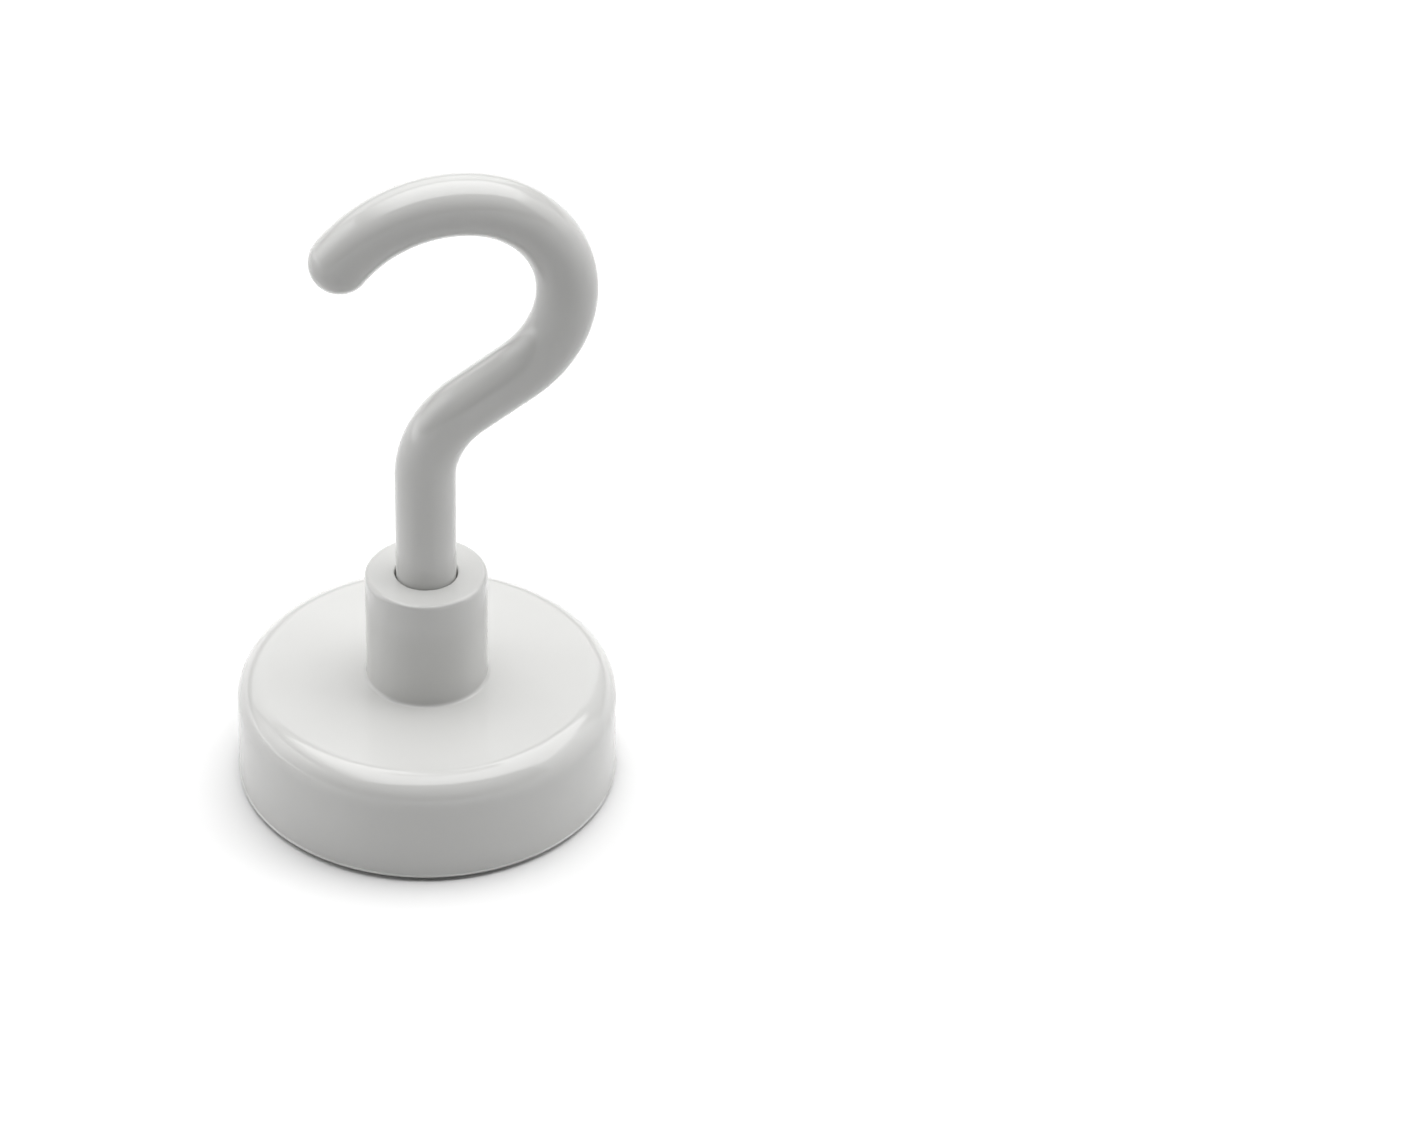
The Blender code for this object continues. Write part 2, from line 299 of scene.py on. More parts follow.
def section(corners, closed, arc_steps=ARC_STEPS):
    """Half section of a turned piece as (radius, height) rows, which run out, up and in again.

    A corner is (radius, height) or (radius, height, rounding). A rounding r is the arc that touches both
    sides: its centre lies on the bisector at r / sin(half the corner's angle). The points of a long straight
    side are spaced by a cosine, so that they crowd towards its ends and the shading stays flat between them.
    """
    places = np.array([corner[:2] for corner in corners])
    count = len(corners)
    arcs = []
    for index, corner in enumerate(corners):
        if len(corner) == 2:
            arcs.append(places[index][None])
            continue
        rounding = corner[2]
        back = places[index - 1] - places[index]
        ahead = places[(index + 1) % count] - places[index]
        back /= np.hypot(*back)
        ahead /= np.hypot(*ahead)
        half = math.acos(float(back @ ahead)) / 2
        centre = places[index] + (back + ahead) / np.hypot(*(back + ahead)) * rounding / math.sin(half)
        first = places[index] + back * rounding / math.tan(half) - centre
        last = places[index] + ahead * rounding / math.tan(half) - centre
        turn = math.atan2(first[0] * last[1] - first[1] * last[0], float(first @ last))
        steps = np.linspace(0, turn, arc_steps + 1)[:, None]
        arcs.append(centre + np.cos(steps) * first + np.sin(steps) * np.array([-first[1], first[0]]))
    spacing = (1 - np.cos(np.linspace(0, math.pi, SIDE_STEPS + 1)))[1:-1, None] / 2
    rows = []
    for index, arc in enumerate(arcs):
        rows.append(arc)
        if index < count - 1 or closed:
            side = arcs[(index + 1) % count][0] - arc[-1]
            if np.hypot(*side) > SHORT_SIDE:
                rows.append(arc[-1] + side * spacing)
    return np.vstack(rows)


def turned(name, rows, material, closed=True, ripple=None):
    """A half section turned about Z: (r, h) goes to (r cos t, r sin t, h). Ends on the axis become poles.

    ripple(r, h, t) is what is added to r.
    """
    turn = np.linspace(0, FULL_TURN, ROUND_STEPS, endpoint=False)
    off_axis = rows[:, 0] > TINY
    rings = rows[off_axis]
    radius = rings[:, 0, None]
    height = np.broadcast_to(rings[:, 1, None], (len(rings), ROUND_STEPS))
    if ripple is not None:
        radius = radius + ripple(radius, height, turn)
    grid = np.stack([radius * np.cos(turn), radius * np.sin(turn), height], axis=-1)
    first_pole = None if off_axis[0] else (0, 0, rows[0, 1])
    last_pole = None if off_axis[-1] else (0, 0, rows[-1, 1])
    return skin(name, grid, material, closed, first_pole, last_pole)


def waves(turn, terms):
    """Sum of share * sin(count * turn + phase) over terms of (count, share, phase)."""
    return sum(share * np.sin(count * turn + phase) for count, share, phase in terms)


def thread_rings(bottom, top, pitch, low, high):
    """(radius, height) up a thread from its lowest whole pitch to top, high halfway between pitches."""
    turns = int((top - bottom) / pitch)
    heights = top - pitch / 2 * np.arange(2 * turns, -1, -1)
    radii = np.where(np.arange(2 * turns + 1) % 2, high, low)
    return list(zip(radii.tolist(), heights.tolist()))


def line_rows(start, heading, run):
    """(x, z, heading) rows along a straight line in the XZ plane."""
    along = np.linspace(0, run, max(2, round(run / PATH_STEP)))[1:]
    x = start[0] + along * math.cos(heading)
    z = start[1] + along * math.sin(heading)
    return np.stack([x, z, np.full(len(along), heading)], axis=-1)


def arc_rows(start, heading, radius, turn):
    """(x, z, heading) rows along an arc in the XZ plane: centre + radius (sin h, -cos h) for heading h."""
    signed = math.copysign(radius, turn)
    headings = heading + np.linspace(0, turn, max(2, round(radius * abs(turn) / PATH_STEP)))[1:]
    x = start[0] - signed * math.sin(heading) + signed * np.sin(headings)
    z = start[1] + signed * math.cos(heading) - signed * np.cos(headings)
    return np.stack([x, z, headings], axis=-1)


def swept(name, path, radii, last_pole, material):
    """A round rod carried along (x, z, heading) rows: place + radius (cos t * side + sin t * Y).

    side is the heading turned a quarter to the right.
    """
    turn = np.linspace(0, FULL_TURN, ROD_STEPS, endpoint=False)
    x, z, heading = (column[:, None] for column in path.T)
    out = radii[:, None] * np.cos(turn)
    across = radii[:, None] * np.sin(turn)
    grid = np.stack([x + out * np.sin(heading), across, z - out * np.cos(heading)], axis=-1)
    first_pole = (path[0, 0], 0, path[0, 1])
    return skin(name, grid, material, False, first_pole, last_pole)


def soft_noise(x, y, size, seed):
    """Smooth noise from 0 to 1: random values on a square grid, blended by 3 t^2 - 2 t^3 between corners."""
    cells = 256
    lattice = np.random.default_rng(seed).uniform(0, 1, (cells, cells))
    column = np.floor(x / size).astype(int)
    row = np.floor(y / size).astype(int)
    across = x / size - column
    up = y / size - row
    across = across * across * (3 - 2 * across)
    up = up * up * (3 - 2 * up)
    left, right = column % cells, (column + 1) % cells
    near, far = row % cells, (row + 1) % cells
    low = lattice[near, left] * (1 - across) + lattice[near, right] * across
    high = lattice[far, left] * (1 - across) + lattice[far, right] * across
    return low * (1 - up) + high * up


def wrinkle_relief(x, y, size):
    """Height 0 to 1 of a pressed leather-like grain: ridges where a warped noise crosses its middle, with a
    finer noise of half the size on them.
    """
    warp_size = 2.2 * size
    broad_share, fine_share = 0.65, 0.35
    shift_x = size * soft_noise(x, y, warp_size, 3)
    shift_y = size * soft_noise(x, y, warp_size, 4)
    broad = 1 - np.abs(2 * soft_noise(x + shift_x, y + shift_y, size, 1) - 1)
    fine = soft_noise(x, y, size / 2, 2)
    return broad_share * broad + fine_share * fine


def disc_grid(cells):
    """Points of the unit disc: a square grid whose squares become circles, max(|u|, |v|) being the radius.

    On a circle the angle goes with the smaller of u and v over the larger.
    """
    u, v = np.meshgrid(np.linspace(-1, 1, cells + 1), np.linspace(-1, 1, cells + 1))
    wide = np.abs(u) > np.abs(v)
    radius = np.where(wide, u, v)
    safe = np.where(radius == 0, 1, radius)
    turn = math.pi / 4 * np.where(wide, v, u) / safe
    phase = np.where(wide, turn, math.pi / 2 - turn)
    return radius * np.cos(phase), radius * np.sin(phase)


# Node trees


def add_node(tree, kind, inputs=None, **settings):
    """Adds a node, sets its properties, and fills its inputs with values or with the sockets to link from."""
    node = tree.nodes.new(kind)
    for key, value in settings.items():
        setattr(node, key, value)
    for key, value in (inputs or {}).items():
        if isinstance(value, bpy.types.NodeSocket):
            tree.links.new(value, node.inputs[key])
        else:
            node.inputs[key].default_value = value
    return node


def new_material(name):
    """A material and its empty node tree."""
    material = bpy.data.materials.new(name)
    material.use_nodes = True
    material.node_tree.nodes.clear()
    return material, material.node_tree


def tint(rgb, factor):
    """The colour times a factor, with full alpha."""
    return (*(min(1.0, channel * factor) for channel in rgb), 1.0)


def powder_coat(colours):
    """White gloss polyester powder coat on steel, with masked, zinc-plated threads.

    The powder melts to a hard smooth film. It mirrors faintly and sharply, as enamel does, with a very
    shallow orange peel, and its tone and gloss are a little uneven where the film is thicker. Inside the
    boss's hole and on the hook's end the coat stops in a ragged edge, and dull bluish zinc shows.
    """
    peel_width, cloud_width, speck_width = 1.6 * MM, 5 * MM, 0.25 * MM
    stop, ragged_by, stop_blur = BOSS_HIGH.z - 0.5 * MM, 0.3 * MM, 0.03 * MM
    hole_reach, hole_blur = 2.35 * MM, 0.05 * MM
    material, tree = new_material("white_powder_coat")
    place = add_node(tree, "ShaderNodeTexCoord").outputs["Object"]
    peel = add_node(tree, "ShaderNodeTexNoise", {"Vector": place, "Scale": 1 / peel_width, "Detail": 1.0})
    cloud = add_node(tree, "ShaderNodeTexNoise", {"Vector": place, "Scale": 1 / cloud_width, "Detail": 1.0})
    paint = add_node(
        tree,
        "ShaderNodeMix",
        {0: cloud.outputs["Fac"], 6: tint(colours.paint, 0.98), 7: tint(colours.paint, 1.02)},
        data_type="RGBA",
    )
    paint_gloss = add_node(
        tree,
        "ShaderNodeMapRange",
        {"Value": cloud.outputs["Fac"], "From Min": 0.2, "From Max": 0.8, "To Min": 0.06, "To Max": 0.1},
    )
    speck = add_node(tree, "ShaderNodeTexNoise", {"Vector": place, "Scale": 1 / speck_width, "Detail": 4.0})
    zinc = add_node(
        tree,
        "ShaderNodeMix",
        {0: speck.outputs["Fac"], 6: tint(colours.zinc, 0.7), 7: tint(colours.zinc, 1.0)},
        data_type="RGBA",
    )
    zinc_gloss = add_node(
        tree,
        "ShaderNodeMapRange",
        {"Value": speck.outputs["Fac"], "From Min": 0.3, "From Max": 0.7, "To Min": 0.28, "To Max": 0.45},
    )
    axis = add_node(tree, "ShaderNodeSeparateXYZ", {"Vector": place})
    flat = add_node(tree, "ShaderNodeVectorMath", {0: place, 1: (1, 1, 0)}, operation="MULTIPLY")
    reach = add_node(tree, "ShaderNodeVectorMath", {0: flat.outputs["Vector"]}, operation="LENGTH")
    ragged = add_node(
        tree,
        "ShaderNodeMath",
        {0: speck.outputs["Fac"], 1: ragged_by, 2: axis.outputs["Z"]},
        operation="MULTIPLY_ADD",
    )
    below = add_node(
        tree,
        "ShaderNodeMapRange",
        {
            "Value": ragged.outputs[0],
            "From Min": stop,
            "From Max": stop + stop_blur,
            "To Min": 1.0,
            "To Max": 0.0,
        },
    )
    inside = add_node(
        tree,
        "ShaderNodeMapRange",
        {
            "Value": reach.outputs["Value"],
            "From Min": hole_reach,
            "From Max": hole_reach + hole_blur,
            "To Min": 1.0,
            "To Max": 0.0,
        },
    )
    bare = add_node(
        tree,
        "ShaderNodeMath",
        {0: below.outputs["Result"], 1: inside.outputs["Result"]},
        operation="MULTIPLY",
    )
    base = add_node(
        tree, "ShaderNodeMix", {0: bare.outputs[0], 6: paint.outputs[2], 7: zinc.outputs[2]}, data_type="RGBA"
    )
    gloss = add_node(
        tree,
        "ShaderNodeMix",
        {0: bare.outputs[0], 2: paint_gloss.outputs["Result"], 3: zinc_gloss.outputs["Result"]},
    )
    bump = add_node(
        tree, "ShaderNodeBump", {"Height": peel.outputs["Fac"], "Strength": 0.4, "Distance": 0.006 * MM}
    )
    shader = add_node(
        tree,
        "ShaderNodeBsdfPrincipled",
        {
            "Base Color": base.outputs[2],
            "Metallic": bare.outputs[0],
            "Roughness": gloss.outputs[0],
            "IOR": 1.6,
            "Normal": bump.outputs["Normal"],
        },
    )
    add_node(tree, "ShaderNodeOutputMaterial", {"Surface": shader.outputs["BSDF"]})
    return material


def grained_rubber(colours):
    """Black rubberised sheet with a fine pressed leather grain, die cut.

    It is matt, the ridges rub a little lighter and smoother than the valleys, the valleys of the grain carry
    painted shade that makes them much darker than the ridges, and fine powder dulls it in clouds.
    """
    grain_width, cloud_width = 0.16 * MM, 4 * MM
    material, tree = new_material("black_grained_rubber")
    place = add_node(tree, "ShaderNodeTexCoord").outputs["Object"]
    grain = add_node(
        tree,
        "ShaderNodeTexNoise",
        {"Vector": place, "Scale": 1 / grain_width, "Detail": 3.0, "Distortion": 0.9},
    )
    cloud = add_node(tree, "ShaderNodeTexNoise", {"Vector": place, "Scale": 1 / cloud_width, "Detail": 3.0})
    # Painted shade: the same noise that raises the bump darkens the colour in its valleys. Its ridges are
    # lighter and smoother where they rub.
    rubbed_and_shaded = add_node(
        tree, "ShaderNodeMapRange", {"Value": grain.outputs["Fac"], "From Min": 0.36, "From Max": 0.66}
    ).outputs["Result"]
    base = add_node(
        tree,
        "ShaderNodeMix",
        {0: rubbed_and_shaded, 6: tint(colours.rubber, 0.25), 7: tint(colours.rubber, 2.0)},
        data_type="RGBA",
    )
    powder = add_node(
        tree,
        "ShaderNodeMapRange",
        {"Value": cloud.outputs["Fac"], "From Min": 0.3, "From Max": 0.8, "To Max": 0.35},
    )
    dusty = add_node(
        tree,
        "ShaderNodeMix",
        {0: powder.outputs["Result"], 6: base.outputs[2], 7: tint(colours.rubber, 1.6)},
        data_type="RGBA",
    )
    rough = add_node(tree, "ShaderNodeMapRange", {"Value": rubbed_and_shaded, "To Min": 0.85, "To Max": 0.5})
    bump = add_node(
        tree, "ShaderNodeBump", {"Height": grain.outputs["Fac"], "Strength": 0.9, "Distance": 0.05 * MM}
    )
    shader = add_node(
        tree,
        "ShaderNodeBsdfPrincipled",
        {
            "Base Color": dusty.outputs[2],
            "Roughness": rough.outputs["Result"],
            "IOR": 1.52,
            "Normal": bump.outputs["Normal"],
        },
    )
    add_node(tree, "ShaderNodeOutputMaterial", {"Surface": shader.outputs["BSDF"]})
    return material


def cast_epoxy(colours):
    """Black two-part epoxy, poured into the groove and left to level.

    It sets to a wet-looking gloss with slow waves along the pour and a few dull patches.
    """
    wave_length, haze_width = 2.5 * MM, 0.9 * MM
    material, tree = new_material("black_cast_epoxy")
    place = add_node(tree, "ShaderNodeTexCoord").outputs["Object"]
    wave = add_node(tree, "ShaderNodeTexNoise", {"Vector": place, "Scale": 1 / wave_length, "Detail": 1.0})
    haze = add_node(tree, "ShaderNodeTexNoise", {"Vector": place, "Scale": 1 / haze_width, "Detail": 4.0})
    black = add_node(
        tree,
        "ShaderNodeMix",
        {0: haze.outputs["Fac"], 6: tint(colours.resin, 0.7), 7: tint(colours.resin, 1.6)},
        data_type="RGBA",
    )
    rough = add_node(
        tree,
        "ShaderNodeMapRange",
        {"Value": haze.outputs["Fac"], "From Min": 0.3, "From Max": 0.8, "To Min": 0.08, "To Max": 0.24},
    )
    bump = add_node(
        tree, "ShaderNodeBump", {"Height": wave.outputs["Fac"], "Strength": 0.5, "Distance": 0.03 * MM}
    )
    shader = add_node(
        tree,
        "ShaderNodeBsdfPrincipled",
        {
            "Base Color": black.outputs[2],
            "Roughness": rough.outputs["Result"],
            "IOR": 1.54,
            "Normal": bump.outputs["Normal"],
        },
    )
    add_node(tree, "ShaderNodeOutputMaterial", {"Surface": shader.outputs["BSDF"]})
    return material


def bright_nickel(colours):
    """Nickel plate on a ground neodymium magnet: warm mirror metal with the grinding's fine lines in it."""
    line_length, stain_width = 2 * MM, 3 * MM
    material, tree = new_material("bright_nickel_plate")
    place = add_node(tree, "ShaderNodeTexCoord").outputs["Object"]
    lay = add_node(tree, "ShaderNodeMapping", {"Vector": place, "Scale": (1.0, 18.0, 1.0)})
    lines = add_node(
        tree, "ShaderNodeTexNoise", {"Vector": lay.outputs["Vector"], "Scale": 1 / line_length, "Detail": 4.0}
    )
    stain = add_node(tree, "ShaderNodeTexNoise", {"Vector": place, "Scale": 1 / stain_width, "Detail": 3.0})
    plate = add_node(
        tree,
        "ShaderNodeMix",
        {0: stain.outputs["Fac"], 6: tint(colours.nickel, 0.86), 7: tint(colours.nickel, 1.06)},
        data_type="RGBA",
    )
    rough = add_node(
        tree,
        "ShaderNodeMapRange",
        {"Value": lines.outputs["Fac"], "From Min": 0.3, "From Max": 0.7, "To Min": 0.14, "To Max": 0.3},
    )
    bump = add_node(
        tree, "ShaderNodeBump", {"Height": lines.outputs["Fac"], "Strength": 0.3, "Distance": 0.003 * MM}
    )
    shader = add_node(
        tree,
        "ShaderNodeBsdfPrincipled",
        {
            "Base Color": plate.outputs[2],
            "Metallic": 1.0,
            "Roughness": rough.outputs["Result"],
            "Normal": bump.outputs["Normal"],
        },
    )
    add_node(tree, "ShaderNodeOutputMaterial", {"Surface": shader.outputs["BSDF"]})
    return material


def cured_glue(colours):
    """Acrylic magnet adhesive, pressed thin and cured: amber, slightly cloudy, with small trapped bubbles."""
    bubble_gap, cloud_width = 0.8 * MM, 3 * MM
    material, tree = new_material("cured_acrylic_glue")
    place = add_node(tree, "ShaderNodeTexCoord").outputs["Object"]
    bubble = add_node(tree, "ShaderNodeTexVoronoi", {"Vector": place, "Scale": 1 / bubble_gap})
    cloud = add_node(tree, "ShaderNodeTexNoise", {"Vector": place, "Scale": 1 / cloud_width, "Detail": 3.0})
    rim = add_node(
        tree,
        "ShaderNodeMapRange",
        {
            "Value": bubble.outputs["Distance"],
            "From Min": 0.08,
            "From Max": 0.16,
            "To Min": 1.0,
            "To Max": 0.0,
        },
    ).outputs["Result"]
    amber = add_node(
        tree,
        "ShaderNodeMix",
        {0: cloud.outputs["Fac"], 6: tint(colours.glue, 0.8), 7: tint(colours.glue, 1.1)},
        data_type="RGBA",
    )
    base = add_node(
        tree, "ShaderNodeMix", {0: rim, 6: amber.outputs[2], 7: tint(colours.glue, 1.3)}, data_type="RGBA"
    )
    rough = add_node(
        tree,
        "ShaderNodeMapRange",
        {"Value": cloud.outputs["Fac"], "From Min": 0.3, "From Max": 0.7, "To Min": 0.28, "To Max": 0.45},
    )
    bump = add_node(tree, "ShaderNodeBump", {"Height": rim, "Strength": 0.5, "Distance": 0.02 * MM})
    shader = add_node(
        tree,
        "ShaderNodeBsdfPrincipled",
        {
            "Base Color": base.outputs[2],
            "Roughness": rough.outputs["Result"],
            "IOR": 1.49,
            "Normal": bump.outputs["Normal"],
        },
    )
    add_node(tree, "ShaderNodeOutputMaterial", {"Surface": shader.outputs["BSDF"]})
    return material


def tissue_film(colours):
    """Double-sided tape with a tissue carrier: off-white, with fibres that show through the tacky film."""
    fibre_length, fibre_turn = 0.9 * MM, 0.6
    material, tree = new_material("tissue_tape_film")
    place = add_node(tree, "ShaderNodeTexCoord").outputs["Object"]
    lay = add_node(
        tree, "ShaderNodeMapping", {"Vector": place, "Scale": (1.0, 5.0, 1.0), "Rotation": (0, 0, fibre_turn)}
    )
    fibre = add_node(
        tree,
        "ShaderNodeTexNoise",
        {"Vector": lay.outputs["Vector"], "Scale": 1 / fibre_length, "Detail": 4.0, "Distortion": 1.2},
    )
    base = add_node(
        tree,
        "ShaderNodeMix",
        {0: fibre.outputs["Fac"], 6: tint(colours.film, 0.82), 7: tint(colours.film, 1.1)},
        data_type="RGBA",
    )
    rough = add_node(
        tree,
        "ShaderNodeMapRange",
        {"Value": fibre.outputs["Fac"], "From Min": 0.3, "From Max": 0.7, "To Min": 0.35, "To Max": 0.55},
    )
    bump = add_node(
        tree, "ShaderNodeBump", {"Height": fibre.outputs["Fac"], "Strength": 0.4, "Distance": 0.01 * MM}
    )
    shader = add_node(
        tree,
        "ShaderNodeBsdfPrincipled",
        {
            "Base Color": base.outputs[2],
            "Roughness": rough.outputs["Result"],
            "IOR": 1.47,
            "Normal": bump.outputs["Normal"],
        },
    )
    add_node(tree, "ShaderNodeOutputMaterial", {"Surface": shader.outputs["BSDF"]})
    return material


def kept(name, make, colours):
    """The material of this name, made once and shared by the pieces that wear it."""
    return bpy.data.materials.get(name) or make(colours)


def place_piece(piece, body, node):
    """The piece rides on a body, and the CAD node that it stands in for is hidden."""
    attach(piece, body)
    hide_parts(node)


class HOOK_OT_pot(bpy.types.Operator):
    """Build the pressed cup, painted all over"""

    bl_idname = "magnetic_hook.pot"
    bl_label = "Pot"

    def execute(self, context):
        settings = context.scene.magnetic_hook
        pot, boss = settings.pot, settings.boss
        top, rim = POT_HIGH.z, POT_LOW.z - pot.bead_drop
        ceiling = top - pot.floor
        bore = pot.radius - pot.wall
        hole = boss.spigot_radius
        corners = [
            (hole, ceiling + boss.swage),
            (hole + boss.swage, ceiling),
            (bore, ceiling, pot.inside_round),
            (bore, rim, pot.rim_round),
            (pot.radius + pot.bead, rim, pot.bead_drop),
            (pot.radius + pot.bead, rim + pot.bead_drop),
            (pot.radius, rim + pot.bead_height),
            (pot.radius, top, pot.top_round),
            (hole, top),
        ]
        coat = kept("white_powder_coat", powder_coat, settings.colours)
        piece = turned("pot", section(corners, closed=True), coat)
        place_piece(piece, BASE, "pot_shell")
        return {"FINISHED"}


class HOOK_OT_boss(bpy.types.Operator):
    """Build the threaded boss, with the paint fillet at its foot"""

    bl_idname = "magnetic_hook.boss"
    bl_label = "Boss"

    def execute(self, context):
        settings = context.scene.magnetic_hook
        boss, thread, pot = settings.boss, settings.thread, settings.pot
        top = BOSS_HIGH.z
        foot = POT_HIGH.z
        ceiling = foot - pot.floor
        bore_floor = top - boss.bore_depth
        low = thread.root + thread.clearance
        high = thread.crest + thread.clearance
        mouth_floor = top - boss.mouth_depth
        skirt = 1.2 * boss.foot_fillet
        thread_floor = bore_floor + boss.drill_point + thread.start
        rings = thread_rings(thread_floor, mouth_floor, thread.pitch, low, high)
        corners = [
            (0, ceiling),
            (boss.spigot_radius + boss.swage, ceiling),
            (boss.spigot_radius, ceiling + boss.swage),
            (boss.spigot_radius, foot - boss.film),
            (boss.radius + skirt, foot - boss.film),
            (boss.radius, foot + boss.film, boss.foot_fillet),
            (boss.radius, top, boss.top_round),
            (boss.mouth_radius, top, boss.mouth_round),
            (boss.mouth_radius, mouth_floor),
            *reversed(rings),
            (low, bore_floor + boss.drill_point),
            (0, bore_floor),
        ]

        def mouth_ripple(radius, height, turn):
            """The thick coat leaves the hole's edge a little wavy, and this dies out down and outwards."""
            away = np.hypot(radius - boss.mouth_radius, height - top)
            return boss.mouth_wave / 2 * waves(turn, MOUTH_WAVES) * np.clip(1 - away / boss.wave_reach, 0, 1)

        coat = kept("white_powder_coat", powder_coat, settings.colours)
        piece = turned("boss", section(corners, closed=False), coat, closed=False, ripple=mouth_ripple)
        place_piece(piece, BASE, "threaded_boss")
        return {"FINISHED"}


class HOOK_OT_rod(bpy.types.Operator):
    """Build the bent hook with its round tip and its threaded end"""

    bl_idname = "magnetic_hook.rod"
    bl_label = "Hook"

    def execute(self, context):
        settings = context.scene.magnetic_hook
        rod, thread, boss = settings.rod, settings.thread, settings.boss
        mouth_floor = BOSS_HIGH.z - boss.mouth_depth
        end = BOSS_HIGH.z - boss.bore_depth + boss.drill_point + thread.start + thread.end_clearance
        shoulder = mouth_floor + thread.shoulder
        rings = thread_rings(end, mouth_floor, thread.pitch, thread.root, thread.crest)
        rings += [(thread.root, shoulder), (rod.radius, shoulder + rod.radius - thread.root)]
        up = math.radians(90)
        rows = [np.array([(0, height, up) for _, height in rings])]
        start = rings[-1][1]
        rows.append(line_rows((0, start), up, BOSS_HIGH.z + rod.shank - start))
        rows.append(arc_rows(rows[-1][-1], up, rod.neck_radius, -rod.neck_angle))
        rows.append(line_rows(rows[-1][-1], rows[-1][-1][2], rod.neck_run))
        rows.append(arc_rows(rows[-1][-1], rows[-1][-1][2], rod.bow_radius, rod.bow_angle))
        rows.append(arc_rows(rows[-1][-1], rows[-1][-1][2], rod.lip_radius, rod.lip_angle))
        centre_x, centre_z, heading = rows[-1][-1]
        ball = np.linspace(0, math.pi / 2, TIP_STEPS, endpoint=False)[1:]
        ahead = rod.radius * np.sin(ball)
        rows.append(
            np.stack(
                [
                    centre_x + ahead * math.cos(heading),
                    centre_z + ahead * math.sin(heading),
                    np.full(len(ball), heading),
                ],
                axis=-1,
            )
        )
        path = np.vstack(rows)
        radii = np.full(len(path), rod.radius)
        radii[: len(rings)] = [radius for radius, _ in rings]
        radii[-len(ball) :] = rod.radius * np.cos(ball)
        tip = (centre_x + rod.radius * math.cos(heading), 0, centre_z + rod.radius * math.sin(heading))
        coat = kept("white_powder_coat", powder_coat, settings.colours)
        piece = swept("hook_rod", path, radii, tip, coat)
        place_piece(piece, HOOK, "threaded_hook")
        return {"FINISHED"}


class HOOK_OT_pad(bpy.types.Operator):
    """Build the grained pad on the magnet face"""

    bl_idname = "magnetic_hook.pad"
    bl_label = "Face pad"

    def execute(self, context):
        settings = context.scene.magnetic_hook
        pad = settings.pad
        flat = pad.radius - pad.edge_round
        smooth_border = pad.grain / 2
        x, y = disc_grid(PAD_CELLS)
        inside = np.clip((1 - np.hypot(x, y)) * flat / smooth_border, 0, 1)
        x, y = x * flat, y * flat
        z = PAD_LOW.z + pad.grain_depth * (1 - wrinkle_relief(x, y, pad.grain)) * inside
        points = np.stack([x, y, z], axis=-1)
        number = np.arange(x.size).reshape(x.shape)
        face = np.stack([number[:-1, :-1], number[1:, :-1], number[1:, 1:], number[:-1, 1:]], axis=-1)
        border = np.concatenate([number[0, :-1], number[:-1, -1], number[-1, :0:-1], number[:0:-1, 0]])
        edge = points.reshape(-1, 3)[border]
        bottom, top = PAD_LOW.z, PAD_LOW.z + pad.thickness
        corners = [
            (0, bottom),
            (pad.radius, bottom, pad.edge_round),
            (pad.radius, top, pad.edge_round),
            (0, top),
        ]
        rows = section(corners, closed=False, arc_steps=PAD_ARC_STEPS)
        rows = rows[rows[:, 0] > flat / 2]
        rows = rows[int(np.argmax(rows[:, 1] > bottom + TINY)) :]
        ring = edge[None, :, :2] / flat * rows[:, 0, None, None]
        heights = np.broadcast_to(rows[:, 1, None, None], (*ring.shape[:2], 1))
        rings = np.concatenate([ring, heights], axis=-1)
        numbers = x.size + np.arange(rings.shape[0] * rings.shape[1]).reshape(rings.shape[:2])
        faces = face.reshape(-1, 4).tolist() + band(border, numbers[0]).tolist()
        faces += band(numbers[:-1], numbers[1:]).tolist()
        pole = np.full(len(border), x.size + numbers.size)
        faces += np.stack([numbers[-1], np.roll(numbers[-1], -1), pole], axis=-1).tolist()
        everything = np.vstack([points.reshape(-1, 3), rings.reshape(-1, 3), (0, 0, top)])
        rubber = kept("black_grained_rubber", grained_rubber, settings.colours)
        piece = mesh_object("pad", everything, faces, rubber)
        place_piece(piece, BASE, "face_pad")
        return {"FINISHED"}


class HOOK_OT_resin(bpy.types.Operator):
    """Build the poured resin in the groove round the pad"""

    bl_idname = "magnetic_hook.resin"
    bl_label = "Resin ring"

    def execute(self, context):
        settings = context.scene.magnetic_hook
        pad, pot = settings.pad, settings.pot
        inner, outer = pad.radius, pot.radius - pot.wall
        quarter = np.linspace(0, math.pi / 2, 3 * ARC_STEPS)
        # The meniscus is a quarter of an ellipse, flat at the pad and upright at the wall.
        across = np.sin(quarter)
        level = pad.meniscus_top + pad.meniscus_depth * np.cos(quarter)
        back = RESIN_HIGH.z
        radii = np.concatenate([inner + (outer - inner) * across, [outer, inner]])
        heights = np.concatenate([level, [back, back]])
        turn = np.linspace(0, FULL_TURN, ROUND_STEPS, endpoint=False)
        swell = pad.resin_wave * np.concatenate([np.sin(2 * quarter), [0, 0]])
        grid = np.stack(
            [
                radii[:, None] * np.cos(turn),
                radii[:, None] * np.sin(turn),
                heights[:, None] + swell[:, None] * waves(turn, RESIN_WAVES),
            ],
            axis=-1,
        )
        epoxy = kept("black_cast_epoxy", cast_epoxy, settings.colours)
        piece = skin("resin", grid, epoxy, closed=True)
        place_piece(piece, BASE, "resin_ring")
        return {"FINISHED"}


